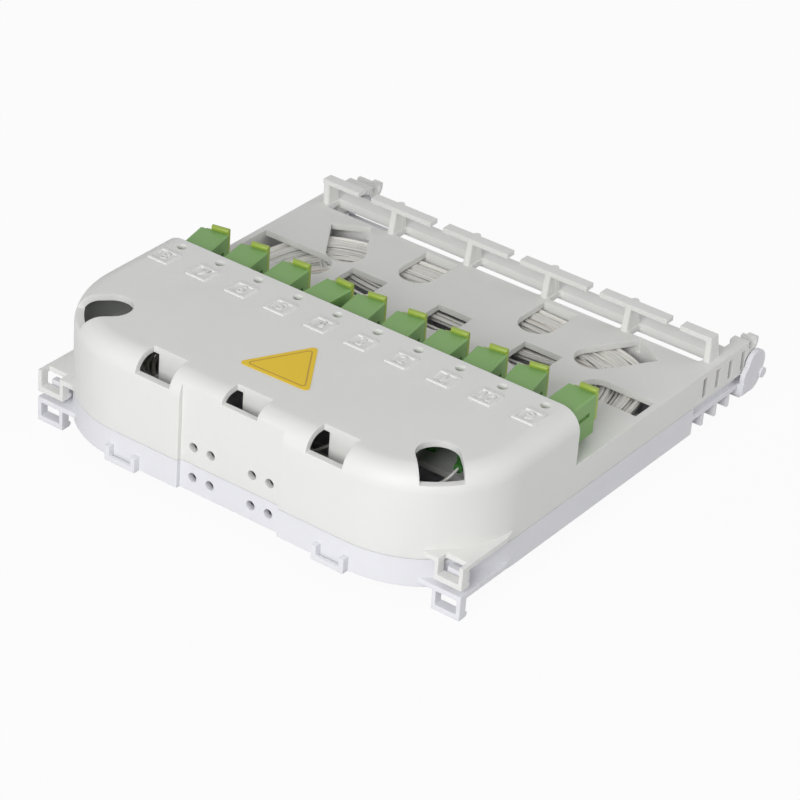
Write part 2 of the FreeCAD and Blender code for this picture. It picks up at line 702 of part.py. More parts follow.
def make_u_clip():
    w = U_CLIP_W / 2
    y0 = FRONT_Y - U_CLIP_OUT
    y1 = FRONT_Y + WALL - SINK
    clip = box(-w, w, y0, y1, 0, U_CLIP_H)
    clip = clip.cut(box(U_CLIP_T - w, w - U_CLIP_T, y0 - 1, FRONT_Y, U_CLIP_T, U_CLIP_H + 1))
    return clip.cut(box(U_CLIP_T - w, w - U_CLIP_T, FRONT_Y - U_CLIP_SLOT, FRONT_Y, -1, U_CLIP_H))


def make_tray():
    tray = slab(0, TRAY_REAR, 0, TRAY_H)
    tray = tray.cut(slab(WALL, TRAY_REAR - WALL, TRAY_FLOOR, TRAY_H + 1))
    panel = PANEL_HALF + WALL
    parts = [box(-panel, panel, FRONT_Y + WALL - SINK, WALL, 0, TRAY_H)]
    parts.append(make_tray_arm(LEDGE_W_RIGHT))
    parts.append(mirrored(make_tray_arm(LEDGE_W_LEFT)))
    lug_y = FLANGE_Y + LOOP_T + LOOP_FOOT / 2 + LUG_GAP
    inset = LOOP_BAR + LUG_SIDE
    leaf = flange(TRAY_FLANGE_RISE, FLANGE_T).fuse(loop(-LOOP_HANG, TRAY_FLANGE_RISE + SINK))
    leaf = leaf.fuse(box(LOOP_X + inset, LOOP_X + LOOP_W - inset, lug_y, lug_y + LUG_T,
                         TRAY_FLANGE_RISE, TRAY_FLANGE_RISE + FLANGE_T + LUG_H))
    leaf = leaf.cut(slab(WALL, TRAY_REAR - WALL, TRAY_FLOOR, TRAY_H))
    parts.extend([leaf, mirrored(leaf)])
    clip = make_u_clip()
    parts.append(moved(clip, U_CLIP_X, 0, 0))
    parts.append(moved(clip, -U_CLIP_X, 0, 0))
    top = TRAY_H - TRAY_TAB_DROP
    parts.extend(box(x0, x1, y0, y1, top - TAB_T, top) for x0, x1, y0, y1 in tray_tabs())
    tray = tray.multiFuse(parts)

    # Front panel, its holes and a floor window below each tab
    cuts = [box(-PANEL_HALF, PANEL_HALF, 2 * FRONT_Y, 0, -1, TRAY_H + 1)]
    for x in HOLE_X:
        cuts.append(rod(x, 2 * FRONT_Y, TRAY_H - TRAY_HOLE_DROP, HOLE_R, 2 * WALL - 2 * FRONT_Y, Y))
    inside = slab(WALL, TRAY_REAR - WALL, -1, 2 * TRAY_FLOOR)
    g = TAB_WINDOW_GAP
    for x0, x1, y0, y1 in tray_tabs():
        cuts.append(box(x0 - g, x1 + g, y0 - g, y1 + g, -1, 2 * TRAY_FLOOR).common(inside))
    for c in cuts:
        tray = tray.cut(c)
    return tray.removeSplitter()


def make_adapter():
    half = ADAPTER_L / 2
    web = WEB_T / 2
    body = box(-ADAPTER_W / 2, ADAPTER_W / 2, -half, half, -ADAPTER_H / 2, ADAPTER_H / 2)
    body = body.makeChamfer(ADAPTER_EDGE, long_edges(body, ADAPTER_L))
    body = body.cut(box(-PORT_W / 2, PORT_W / 2, web, half + 1, -PORT_H / 2, PORT_H / 2))
    body = body.cut(box(-PORT_W / 2, PORT_W / 2, -half - 1, -web, -PORT_H / 2, PORT_H / 2))
    body = body.fuse(rod(0, -TUBE_L / 2, 0, TUBE_R, TUBE_L, Y))
    body = body.cut(rod(0, -ADAPTER_L, 0, TUBE_IN_R, 2 * ADAPTER_L, Y))
    depth = ADAPTER_W / 2 - SIDE_SLOT_D
    for side in (1, -1):
        for y0 in (web + SINK, SIDE_SLOT_END - half):
            body = body.cut(side_box(side, depth, ADAPTER_W, y0, y0 + half - web - SINK - SIDE_SLOT_END,
                                     SIDE_SLOT_RISE - SIDE_SLOT_H / 2, SIDE_SLOT_RISE + SIDE_SLOT_H / 2))
    return body


def make_cap():
    # Plate over the port, a rounded thumb tab on its right half and an insert
    face = ADAPTER_L / 2
    right = ADAPTER_W / 2
    plate = box(-PLUG_W / 2, right, face, face + CAP_T, -CAP_DROP, CAP_RISE)
    plate = plate.makeFillet(CAP_EDGE, long_edges(plate, CAP_T))
    top = ADAPTER_H / 2 + CAP_TAB_RISE
    tab = box(right - CAP_TAB_W, right, face, face + CAP_T, 0, top)
    rounded = [e for e in tab.Edges if e.BoundBox.ZMin > top - 1e-6 and e.BoundBox.XLength > CAP_TAB_W / 2]
    tab = tab.makeFillet(CAP_TAB_R, rounded)
    insert = box(-PLUG_W / 2, PLUG_W / 2, face - CAP_DEPTH, face, -PLUG_H / 2, PLUG_H / 2)
    insert = insert.makeChamfer(PLUG_EDGE, long_edges(insert, CAP_DEPTH))
    bore_l = TUBE_L / 2 - face + CAP_DEPTH + TUBE_CLEAR
    cap = insert.multiFuse([plate, tab])
    return cap.cut(rod(0, face - CAP_DEPTH - 1, 0, NOSE_BORE_R, bore_l + 1, Y)).removeSplitter()


def make_plug():
    body = box(-PLUG_W / 2, PLUG_W / 2, -PLUG_END, -WEB_T / 2, -PLUG_H / 2, PLUG_H / 2)
    body = body.makeChamfer(PLUG_EDGE, long_edges(body, PLUG_L))
    body = body.cut(rod(0, -TUBE_L / 2 - TUBE_CLEAR, 0, NOSE_BORE_R, TUBE_L, Y))
    body = body.cut(rod(0, -TUBE_L - WEB_T, 0, SLEEVE_IN_R, TUBE_L, Y))
    for i in (1, 2, 3):
        y = GRIP_PITCH * i - PLUG_END
        for side in (1, -1):
            z0, z1 = sorted((side * (PLUG_H / 2 - GRIP_D), side * PLUG_H))
            body = body.cut(box(-PLUG_W, PLUG_W, y - GRIP_W / 2, y + GRIP_W / 2, z0, z1))
    return body


def make_boot():
    return Part.makeCone(BOOT_R, BOOT_TIP_R, BOOT_L, V(0, -PLUG_END, 0), V(0, -1, 0))


def make_ferrule():
    length = TUBE_L + WEB_T
    return rod(0, -length, 0, FERRULE_R, length, Y)


def make_sleeve():
    sleeve = rod(0, -SLEEVE_L / 2, 0, SLEEVE_R, SLEEVE_L, Y)
    return sleeve.cut(rod(0, -SLEEVE_L, 0, SLEEVE_IN_R, 2 * SLEEVE_L, Y))


def make_pigtail():
    # Leaves the boot along its axis and turns down on to the patch fibres
    y = -BOOT_END - FIBRE_BEND
    corners = []
    for i in range(PIGTAIL_SIDES + 1):
        t = 2 * math.pi * i / PIGTAIL_SIDES
        corners.append(V(FIBRE_R * math.cos(t), y + FIBRE_R * math.sin(t), -FIBRE_BEND))
    section = Part.Face(Part.makePolygon(corners))
    bend = section.revolve(V(0, -BOOT_END, -FIBRE_BEND), -X, 90)
    tail = section.extrude(V(0, 0, COIL_TOP + FIBRE_BEND - ADAPTER_Z))
    return bend.fuse(tail)


def make_sticker():
    height = STICKER_SIDE * math.sqrt(0.75)
    corners = [V(-STICKER_SIDE / 2, 0, ROOF_Z), V(STICKER_SIDE / 2, 0, ROOF_Z), V(0, height, ROOF_Z)]
    tri = Part.Face(Part.makePolygon(corners + corners[:1])).extrude(V(0, 0, STICKER_T))
    edges = [e for e in tri.Edges if abs(e.BoundBox.ZLength - STICKER_T) < 1e-6]
    return moved(tri.makeFillet(STICKER_EDGE, edges), STICKER_X, FRONT_Y + STICKER_FRONT, STICKER_TURN)


def make_holder():
    length = COUNT * SPLICE_PITCH + RIDGE_T
    holder = box(-HOLDER_W / 2, HOLDER_W / 2, HOLDER_FRONT, HOLDER_FRONT + length,
                 TRAY_FLOOR, TRAY_FLOOR + HOLDER_BASE)
    ridges = []
    for k in range(COUNT + 1):
        y = HOLDER_FRONT + k * SPLICE_PITCH
        for x in (-RIDGE_X, RIDGE_X):
            ridges.append(box(x - RIDGE_W / 2, x + RIDGE_W / 2, y, y + RIDGE_T,
                              TRAY_FLOOR, TRAY_FLOOR + HOLDER_BASE + RIDGE_H))
    return holder.multiFuse(ridges).removeSplitter()


def make_splices():
    solids = []
    for k in range(COUNT):
        y = HOLDER_FRONT + (k + 0.5) * SPLICE_PITCH + RIDGE_T / 2
        solids.append(rod(-SPLICE_L / 2, y, TRAY_FLOOR + HOLDER_BASE + SPLICE_R, SPLICE_R, SPLICE_L, X))
    return Part.makeCompound(solids)


def make_splitter():
    rear = HOLDER_FRONT - SPLITTER_GAP
    return box(-SPLITTER_L / 2, SPLITTER_L / 2, rear - SPLITTER_W, rear,
               TRAY_FLOOR, TRAY_FLOOR + SPLITTER_H)


def in_row(shape):
    return Part.makeCompound([seated(shape, k) for k in range(COUNT)])


shapes = {
    "upper_cover": make_cover(),
    "splice_tray": make_tray(),
    "ferrules": in_row(make_ferrule()),
    "alignment_sleeves": in_row(make_sleeve()),
    "pigtails": in_row(make_pigtail()),
    "patch_coil": ring(COIL_MARGIN, COIL_W, SKIRT_REAR - WALL, COIL_REAR_R, TAB_Z, COIL_H),
    "splice_coil": ring(SPLICE_COIL_MARGIN, SPLICE_COIL_W, TRAY_REAR - WALL, COIL_REAR_R,
                        TRAY_FLOOR, SPLICE_COIL_H),
    "splice_holder": make_holder(),
    "splice_sleeves": make_splices(),
    "splitter": make_splitter(),
    "sticker": make_sticker(),
}
repeated = {
    "adapter": make_adapter(),
    "dust_cap": make_cap(),
    "plug": make_plug(),
    "boot": make_boot(),
}
for name, shape in repeated.items():
    for k in range(COUNT):
        shapes["%s_%d" % (name, k + 1)] = seated(shape, k)

for name, shape in shapes.items():
    shape.translate(V(0, 0, 0) - BASE)
    shape.exportStep("parts/%s.step" % name)
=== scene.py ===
import json
import math
import random

import bpy
from mathutils import Matrix, Vector

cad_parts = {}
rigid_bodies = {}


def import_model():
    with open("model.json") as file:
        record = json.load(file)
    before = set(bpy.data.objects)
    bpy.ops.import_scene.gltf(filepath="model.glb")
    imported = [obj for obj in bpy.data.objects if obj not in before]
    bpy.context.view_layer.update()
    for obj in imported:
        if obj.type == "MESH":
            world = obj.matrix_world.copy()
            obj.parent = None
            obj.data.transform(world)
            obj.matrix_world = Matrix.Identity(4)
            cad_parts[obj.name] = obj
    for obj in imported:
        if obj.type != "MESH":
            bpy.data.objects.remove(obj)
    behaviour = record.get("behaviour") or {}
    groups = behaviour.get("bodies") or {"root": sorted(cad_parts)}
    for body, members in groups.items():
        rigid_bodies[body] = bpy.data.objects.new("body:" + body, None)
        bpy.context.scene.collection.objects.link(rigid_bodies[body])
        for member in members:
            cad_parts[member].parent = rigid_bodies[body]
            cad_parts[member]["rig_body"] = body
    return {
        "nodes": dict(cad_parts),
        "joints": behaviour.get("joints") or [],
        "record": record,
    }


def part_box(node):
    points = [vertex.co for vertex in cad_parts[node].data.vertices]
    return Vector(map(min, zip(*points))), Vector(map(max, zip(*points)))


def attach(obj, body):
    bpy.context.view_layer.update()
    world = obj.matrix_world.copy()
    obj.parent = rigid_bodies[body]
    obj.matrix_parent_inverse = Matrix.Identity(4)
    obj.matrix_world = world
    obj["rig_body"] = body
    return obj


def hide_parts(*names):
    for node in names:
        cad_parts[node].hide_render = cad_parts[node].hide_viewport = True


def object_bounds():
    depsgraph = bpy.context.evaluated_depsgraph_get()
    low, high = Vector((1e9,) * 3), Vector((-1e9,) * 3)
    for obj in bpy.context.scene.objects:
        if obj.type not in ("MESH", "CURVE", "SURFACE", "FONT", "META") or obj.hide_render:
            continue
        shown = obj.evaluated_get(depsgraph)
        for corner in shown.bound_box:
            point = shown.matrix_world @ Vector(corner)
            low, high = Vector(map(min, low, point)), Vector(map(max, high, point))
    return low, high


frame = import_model()
cad_low, cad_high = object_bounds()
nodes = frame["nodes"]
joints = {joint["name"]: joint for joint in frame["joints"]}
node_slot = {part["node"]: part["material_slot"] for part in frame["record"]["subparts"]}

# Lengths are in metres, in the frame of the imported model
MM = 0.001

# Row of ports, and the raised numbers on the roof of the hood
PORTS = 10
PITCH = 14.0 * MM
FRAME_RISE = 0.5 * MM
ROOF_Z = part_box("upper_cover")[1].z - FRAME_RISE
NUMBERS = ["8", "7", "6", "5", "4", "3", "2", "1", "10", "9"]
NUMBER_Y = -29.25 * MM
NUMBER_SIZE = 5.4 * MM
NUMBER_RISE = 0.5 * MM
NUMBER_EDGE = 0.06 * MM
NUMBER_STEPS = 4

# Printed line on the sticker: its outline as a share of the sticker's, its width and height
LINE_OUTER = 0.84
LINE_W = 0.4 * MM
LINE_RISE = 0.03 * MM
FACES_UP = 0.9

# Moulded radii on the edges
EDGE_STEPS = 2
HOUSING_EDGE = 0.1 * MM
ADAPTER_EDGE = 0.15 * MM
CAP_EDGE = 0.2 * MM
PLUG_EDGE = 0.15 * MM
SPLITTER_EDGE = 0.4 * MM

# Bead along the top of a cap's thumb tab
TAB_W = 5.6 * MM
BEAD_R = 0.7 * MM
BEAD_AHEAD = 0.35 * MM
BEAD_SHORT = 0.3 * MM
BEAD_EDGE = 0.15 * MM
BEAD_SIDES = 24

# Strands of fibre
FIBRE_R = 0.45 * MM
FINE_FIBRE_R = 0.17 * MM
SPLICE_FIBRE_R = 0.25 * MM
STRAND_ROUND = 1
STRAND_STEPS = 6
STRAND_ORDER = 4

# Guide points of one turn, counted from the right side by way of the rear
TURN_POINTS = 16
TURN_ROUND = 0.44
WHOLE_TURN = range(TURN_POINTS)
REAR_STEPS = range(3, 6)
SLACK_STEPS = range(2, 7)
FINE_STEPS = range(3, 10)

# Groups of turns: their number, their insets from the wall, and how far they stray
STORE_TURNS = (40, (FIBRE_R, 16.0 * MM), 1.6 * MM)
PLATE_TURNS = (12, (FIBRE_R, 5.0 * MM), 0.5 * MM)
BOWED_TURNS = (16, (FIBRE_R, 9.0 * MM), 2.5 * MM)
SLACK_TURNS = (12, (FIBRE_R, 9.0 * MM), 4.5 * MM)
FINE_TURNS = (44, (FIBRE_R, 11.0 * MM), 3.0 * MM)
SPLICE_TURNS = (30, (SPLICE_FIBRE_R, 7.3 * MM), 1.5 * MM)
BOW = 30.0 * MM
INSET_LEAN = 1.3
HEIGHT_LEAN = 0.7
RISE_SHARE = 0.2

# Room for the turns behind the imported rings, and over their tops
STORE_REAR = 2.0 * MM
STORE_OVER = 1.1 * MM
PLATE_OVER = (0.9 * MM, 1.6 * MM)
UPPER_OVER = (-0.4 * MM, 1.3 * MM)
SPLICE_OVER = 0.8 * MM

# Pigtails: the boot's tip from the middle of an adapter, then the way down to the store
BOOT_REACH = 34.5 * MM
TAIL_IN_BOOT = 1.0 * MM
TAIL_STRAIGHT = 2.0 * MM
TAIL_BEND = 5.0 * MM
TAIL_ASIDE = 1.0 * MM
TAIL_DROP = 1.5 * MM
TAIL_HALFWAY = 0.4
TAIL_RUN = 12.0 * MM
TAIL_RUN_MORE = 5.0 * MM
TAIL_LAY = 6.0 * MM
TAIL_LAY_MORE = 6.0 * MM
TAIL_END = 14.0 * MM
TAIL_SINK = 1.0 * MM
TAILS_TO_RIGHT = 2

# Seeds of the chance draws
PATCH_SEED = 5
SPLICE_SEED = 9
PIGTAIL_SEED = 3

# Mesh clean-up, with the places in millimetres where large flat faces are cut
MERGE = 0.002 * MM
FLAT_ANGLE = math.radians(0.5)
SHARP_ANGLE = math.radians(35)
SHARP_TURNS = 8
NARROW_TURNS = 2
FOLD_AREA = 0.01 * MM * MM
FOLD_LIMIT = 0.2
CUT_X = [-63, -56, -49, -35, -21, -7, 0, 7, 21, 35, 49, 56, 63]
CUT_Y = [-60, -45, -29.3, -15, -1, 10, 23.3, 33, 43.4, 54.6, 60.7, 68]

# Scale of the cloudy tint and of the satin grain, and the height of the grain
CLOUD_SCALE = 45.0
GRAIN_SCALE = 2600.0
GRAIN_HEIGHT = 0.05 * MM

# Plastics: colour, shaded colour, least and most roughness, strength of the grain
PLASTICS = {
    "cover_white": ((0.79, 0.79, 0.77), (0.74, 0.74, 0.725), 0.46, 0.6, 0.25),
    "tray_white": ((0.79, 0.79, 0.825), (0.74, 0.74, 0.785), 0.46, 0.6, 0.25),
    "adapter_green": ((0.215, 0.40, 0.125), (0.18, 0.355, 0.105), 0.4, 0.55, 0.3),
    "cap_lime": ((0.34, 0.45, 0.07), (0.30, 0.41, 0.06), 0.34, 0.46, 0.15),
    "plug_green": ((0.04, 0.20, 0.03), (0.03, 0.16, 0.02), 0.3, 0.45, 0.2),
    "boot_green": ((0.03, 0.15, 0.02), (0.025, 0.12, 0.02), 0.5, 0.7, 0.3),
    "ceramic_white": ((0.86, 0.86, 0.84), (0.82, 0.82, 0.80), 0.1, 0.2, 0.05),
    "holder_grey": ((0.55, 0.55, 0.56), (0.50, 0.50, 0.51), 0.4, 0.55, 0.2),
    "sleeve_clear": ((0.62, 0.66, 0.70), (0.56, 0.60, 0.65), 0.12, 0.25, 0.1),
    "sticker_yellow": ((0.82, 0.57, 0.01), (0.77, 0.53, 0.01), 0.42, 0.52, 0.1),
    "sticker_amber": ((0.50, 0.29, 0.01), (0.46, 0.26, 0.01), 0.3, 0.42, 0.1),
}

# White plastics that a share of the light enters, and how deep it goes
GLOWING = ("cover_white", "tray_white")
GLOW_DEPTH = 4.0 * MM
GLOW_SHARE = 0.15

# Fibre coating, its rosy strands, where on the ramp the pale ones lie, and its cloudiness
FIBRE = ((0.87, 0.86, 0.82), (0.62, 0.62, 0.61), 0.28, 0.42, 0.08)
FIBRE_ROSY = (0.78, 0.68, 0.62)
PALE_STOPS = (0.35, 0.85)
FIBRE_CLOUD = 0.3

# Steel, with the scale of its streaks along and across the housing
STEEL = ((0.62, 0.63, 0.65), (0.55, 0.56, 0.58), 0.25, 0.4, 0.1)
STREAK_SCALE = (60, 4000, 4000)

# Camera of the photograph
CAMERA_AT = Vector((0.45850, -0.66445, 0.49950))
CAMERA_TURN = math.radians(34.5345)
CAMERA_TILT = math.radians(31.4773)
CAMERA_ROLL = math.radians(4.3089)
CAMERA_LENS = 149.35
CAMERA_SENSOR = 36.0

# Studio: place and width of each lamp in metres, its power in watts
LAMPS = [
    ("key", (0.25, -1.04, 0.575), 0.6, 10.0),
    ("rear_fill", (0.80, 0.72, 0.55), 0.9, 2.9),
]
SKY_LIGHT = 0.35
FLOOR_SIZE = 6.0
FLOOR_GLOW = 0.94
FLOOR_PALE = 0.62
FLOOR_ROUGH = 0.8


# Shader groups

def add_node(tree, kind, **values):
    node = tree.nodes.new(kind)
    for name, value in values.items():
        node.inputs[name].default_value = value
    return node


def new_group(name, inputs, outputs):
    group = bpy.data.node_groups.new(name, "ShaderNodeTree")
    for label, kind, value in inputs:
        socket = group.interface.new_socket(label, in_out="INPUT", socket_type=kind)
        socket.default_value = value
    for label, kind in outputs:
        group.interface.new_socket(label, in_out="OUTPUT", socket_type=kind)
    return group, group.nodes.new("NodeGroupInput"), group.nodes.new("NodeGroupOutput")


def make_moulded_finish():
    # Soft cloudy tint, fine satin grain and a roughness that follows the tint
    group, given, result = new_group(
        "Moulded finish",
        [
            ("Base", "NodeSocketColor", (0.8, 0.8, 0.8, 1)),
            ("Shade", "NodeSocketColor", (0.7, 0.7, 0.7, 1)),
            ("Cloud Scale", "NodeSocketFloat", CLOUD_SCALE),
            ("Grain Scale", "NodeSocketFloat", GRAIN_SCALE),
            ("Smooth", "NodeSocketFloat", 0.35),
            ("Rough", "NodeSocketFloat", 0.5),
        ],
        [
            ("Color", "NodeSocketColor"),
            ("Roughness", "NodeSocketFloat"),
            ("Height", "NodeSocketFloat"),
        ],
    )
    place = add_node(group, "ShaderNodeTexCoord")
    cloud = add_node(group, "ShaderNodeTexNoise", Detail=4.0, Roughness=0.6)
    grain = add_node(group, "ShaderNodeTexNoise", Detail=3.0, Roughness=0.6)
    tint = add_node(group, "ShaderNodeMix")
    tint.data_type = "RGBA"
    level = add_node(group, "ShaderNodeMapRange")
    link = group.links.new
    link(place.outputs["Object"], cloud.inputs["Vector"])
    link(place.outputs["Object"], grain.inputs["Vector"])
    link(given.outputs["Cloud Scale"], cloud.inputs["Scale"])
    link(given.outputs["Grain Scale"], grain.inputs["Scale"])
    link(cloud.outputs["Fac"], tint.inputs["Factor"])
    link(given.outputs["Base"], tint.inputs["A"])
    link(given.outputs["Shade"], tint.inputs["B"])
    link(cloud.outputs["Fac"], level.inputs["Value"])
    link(given.outputs["Smooth"], level.inputs["To Min"])
    link(given.outputs["Rough"], level.inputs["To Max"])
    link(tint.outputs["Result"], result.inputs["Color"])
    link(level.outputs["Result"], result.inputs["Roughness"])
    link(grain.outputs["Fac"], result.inputs["Height"])
    return group


# Materials

def moulded_plastic(name, base, shade, smooth, rough, grain):
    mat = bpy.data.materials.new(name)
    mat.use_nodes = True
    tree = mat.node_tree
    shader = tree.nodes["Principled BSDF"]
    if name in GLOWING:
        shader.inputs["Subsurface Weight"].default_value = GLOW_SHARE
        shader.inputs["Subsurface Radius"].default_value = (1.0, 1.0, 1.0)
        shader.inputs["Subsurface Scale"].default_value = GLOW_DEPTH
    finish = tree.nodes.new("ShaderNodeGroup")
    finish.node_tree = moulded_finish
    finish.inputs["Base"].default_value = (*base, 1)
    finish.inputs["Shade"].default_value = (*shade, 1)
    finish.inputs["Smooth"].default_value = smooth
    finish.inputs["Rough"].default_value = rough
    relief = add_node(tree, "ShaderNodeBump", Strength=grain, Distance=GRAIN_HEIGHT)
    tree.links.new(finish.outputs["Color"], shader.inputs["Base Color"])
    tree.links.new(finish.outputs["Roughness"], shader.inputs["Roughness"])
    tree.links.new(finish.outputs["Height"], relief.inputs["Height"])
    tree.links.new(relief.outputs["Normal"], shader.inputs["Normal"])
    return mat


def strand_coating(name, look, rosy):
    # Each strand has its own tint, read from the strand attribute of its mesh
    pale, grey = look[:2]
    mat = moulded_plastic(name, *look)
    tree = mat.node_tree
    shader = tree.nodes["Principled BSDF"]
    strand = tree.nodes.new("ShaderNodeAttribute")
    strand.attribute_name = "strand"
    ramp = tree.nodes.new("ShaderNodeValToRGB")
    ramp.color_ramp.elements[0].color = (*grey, 1)
    ramp.color_ramp.elements[1].color = (*rosy, 1)
    for stop in PALE_STOPS:
        ramp.color_ramp.elements.new(stop).color = (*pale, 1)
    tree.links.new(strand.outputs["Fac"], ramp.inputs["Fac"])
    blend = tree.nodes.new("ShaderNodeMix")
    blend.data_type = "RGBA"
    blend.blend_type = "MULTIPLY"
    blend.inputs["Factor"].default_value = FIBRE_CLOUD
    finish = next(n for n in tree.nodes if n.type == "GROUP")
    tree.links.new(ramp.outputs["Color"], blend.inputs["A"])
    tree.links.new(finish.outputs["Color"], blend.inputs["B"])
    tree.links.new(blend.outputs["Result"], shader.inputs["Base Color"])
    return mat


def brushed_steel(name, look):
    # Fine streaks along the length of the housing
    mat = moulded_plastic(name, *look)
    tree = mat.node_tree
    shader = tree.nodes["Principled BSDF"]
    shader.inputs["Metallic"].default_value = 1.0
    place = tree.nodes.new("ShaderNodeTexCoord")
    stretch = tree.nodes.new("ShaderNodeMapping")
    stretch.inputs["Scale"].default_value = STREAK_SCALE
    streak = add_node(tree, "ShaderNodeTexNoise", Scale=1.0, Detail=3.0)
    relief = next(n for n in tree.nodes if n.type == "BUMP")
    tree.links.new(place.outputs["Object"], stretch.inputs["Vector"])
    tree.links.new(stretch.outputs["Vector"], streak.inputs["Vector"])
    tree.links.new(streak.outputs["Fac"], relief.inputs["Height"])
    return mat


moulded_finish = make_moulded_finish()
finish_of = {name: moulded_plastic(name, *look) for name, look in PLASTICS.items()}
finish_of["fibre_cream"] = strand_coating("fibre_cream", FIBRE, FIBRE_ROSY)
finish_of["splitter_steel"] = brushed_steel("splitter_steel", STEEL)
for name, slot in node_slot.items():
    nodes[name].data.materials.clear()
    nodes[name].data.materials.append(finish_of[slot])


# Pieces

def select_only(obj):
    bpy.ops.object.select_all(action="DESELECT")
    obj.select_set(True)
    bpy.context.view_layer.objects.active = obj


def settle(obj, body, slot, mat=None):
    obj.data.materials.clear()
    obj.data.materials.append(mat or finish_of[slot])
    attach(obj, body)


def stand_for(obj, node):
    settle(obj, nodes[node]["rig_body"], node_slot[node])
    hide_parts(node)


def copy_of(node, name):
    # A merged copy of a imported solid, with flat faces in one piece
    obj = bpy.data.objects.new(name, nodes[node].data.copy())
    bpy.context.scene.collection.objects.link(obj)
    select_only(obj)
    bpy.ops.object.mode_set(mode="EDIT")
    bpy.ops.mesh.select_all(action="SELECT")
    bpy.ops.mesh.customdata_custom_splitnormals_clear()
    bpy.ops.mesh.remove_doubles(threshold=MERGE)
    bpy.ops.mesh.dissolve_limited(angle_limit=FLAT_ANGLE)
    bpy.ops.object.mode_set(mode="OBJECT")
    return obj


def choose_faces(obj, wanted):
    # Leaves edit mode open with just these faces selected
    bpy.ops.object.mode_set(mode="EDIT")
    bpy.ops.mesh.select_mode(type="FACE")
    bpy.ops.mesh.select_all(action="DESELECT")
    bpy.ops.object.mode_set(mode="OBJECT")
    for face in obj.data.polygons:
        face.select = wanted(face)
    bpy.ops.object.mode_set(mode="EDIT")


def cut_flats(obj):
    # Large flat faces are cut between their windows, so that each stays a simple outline
    bpy.ops.object.mode_set(mode="EDIT")
    bpy.ops.mesh.select_mode(type="EDGE")
    for axis, places in enumerate((CUT_X, CUT_Y)):
        for place in places:
            at = Vector()
            at[axis] = place * MM
            way = Vector()
            way[axis] = 1
            bpy.ops.mesh.select_all(action="SELECT")
            bpy.ops.mesh.bisect(plane_co=at, plane_no=way)
            bpy.ops.mesh.mark_seam()
    bpy.ops.mesh.select_all(action="SELECT")
    bpy.ops.mesh.dissolve_limited(angle_limit=FLAT_ANGLE, delimit={"SEAM"})
    bpy.ops.mesh.mark_seam(clear=True)
    bpy.ops.object.mode_set(mode="OBJECT")


def folded_faces(mesh):
    # Faces that the rounding has folded over themselves
    mesh.calc_loop_triangles()
    folded = set()
    for part in mesh.loop_triangles:
        face = mesh.polygons[part.polygon_index]
        if part.area > FOLD_AREA and part.normal.dot(face.normal) < FOLD_LIMIT:
            folded.add(part.polygon_index)
    return folded


def leave_sharp(obj):
    # Steps too narrow for the rounding keep their sharp edges: the edges of a folded face
    # at first, and after some turns every edge that meets it
    bpy.ops.object.mode_set(mode="EDIT")
    bpy.ops.mesh.select_mode(type="EDGE")
    bpy.ops.mesh.select_all(action="DESELECT")
    bpy.ops.mesh.edges_select_sharp(sharpness=SHARP_ANGLE)
    bpy.ops.object.mode_set(mode="OBJECT")
    mesh = obj.data
    weights = [float(edge.select) for edge in mesh.edges]
    weight = mesh.attributes.new("bevel_weight_edge", "FLOAT", "EDGE")
    weight.data.foreach_set("value", weights)
    origin = mesh.attributes.new("origin", "INT", "FACE")
    origin.data.foreach_set("value", list(range(len(mesh.polygons))))
    for turn in range(SHARP_TURNS):
        mesh.update()
        graph = bpy.context.evaluated_depsgraph_get()
        trial = bpy.data.meshes.new_from_object(obj.evaluated_get(graph))
        folded = {trial.attributes["origin"].data[i].value for i in folded_faces(trial)}
        bpy.data.meshes.remove(trial)
        if not folded:
            break
        corners = {v for i in folded for v in mesh.polygons[i].vertices}
        for edge in mesh.edges:
            hits = sum(v in corners for v in edge.vertices)
            if hits == 2 or (hits and turn >= NARROW_TURNS):
                weights[edge.index] = 0.0
        mesh.attributes["bevel_weight_edge"].data.foreach_set("value", weights)


def soften(node, name, edge, flats=False):
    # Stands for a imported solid, with the small moulded radius on its edges
    obj = copy_of(node, name)
    if flats:
        cut_flats(obj)
    bevel = obj.modifiers.new("moulded_edge", "BEVEL")
    bevel.width = edge
    bevel.segments = EDGE_STEPS
    bevel.limit_method = "WEIGHT"
    bevel.use_clamp_overlap = False
    leave_sharp(obj)
    select_only(obj)
    bpy.ops.object.modifier_apply(modifier=bevel.name)
    obj.data.attributes.remove(obj.data.attributes["origin"])
    bpy.ops.object.shade_smooth_by_angle(angle=SHARP_ANGLE)
    level = obj.modifiers.new("level_faces", "WEIGHTED_NORMAL")
    level.keep_sharp = True
    bpy.ops.object.modifier_apply(modifier=level.name)
    stand_for(obj, node)


def make_port_numbers():
    for k, text in enumerate(NUMBERS):
        bpy.ops.object.select_all(action="DESELECT")
        bpy.ops.object.text_add()
        number = bpy.context.object
        number.name = "port_number_%d" % (k + 1)
        number.data.body = text
        number.data.align_x = "CENTER"
        number.data.align_y = "CENTER"
        number.data.size = NUMBER_SIZE
        number.data.extrude = NUMBER_RISE - NUMBER_EDGE
        number.data.bevel_depth = NUMBER_EDGE
        number.data.resolution_u = NUMBER_STEPS
        bpy.ops.object.convert(target="MESH")
        number.location = ((k - (PORTS - 1) / 2) * PITCH, NUMBER_Y, ROOF_Z)
        bpy.ops.object.transform_apply(location=True, rotation=True, scale=True)
        settle(number, "cover", "cover_white")


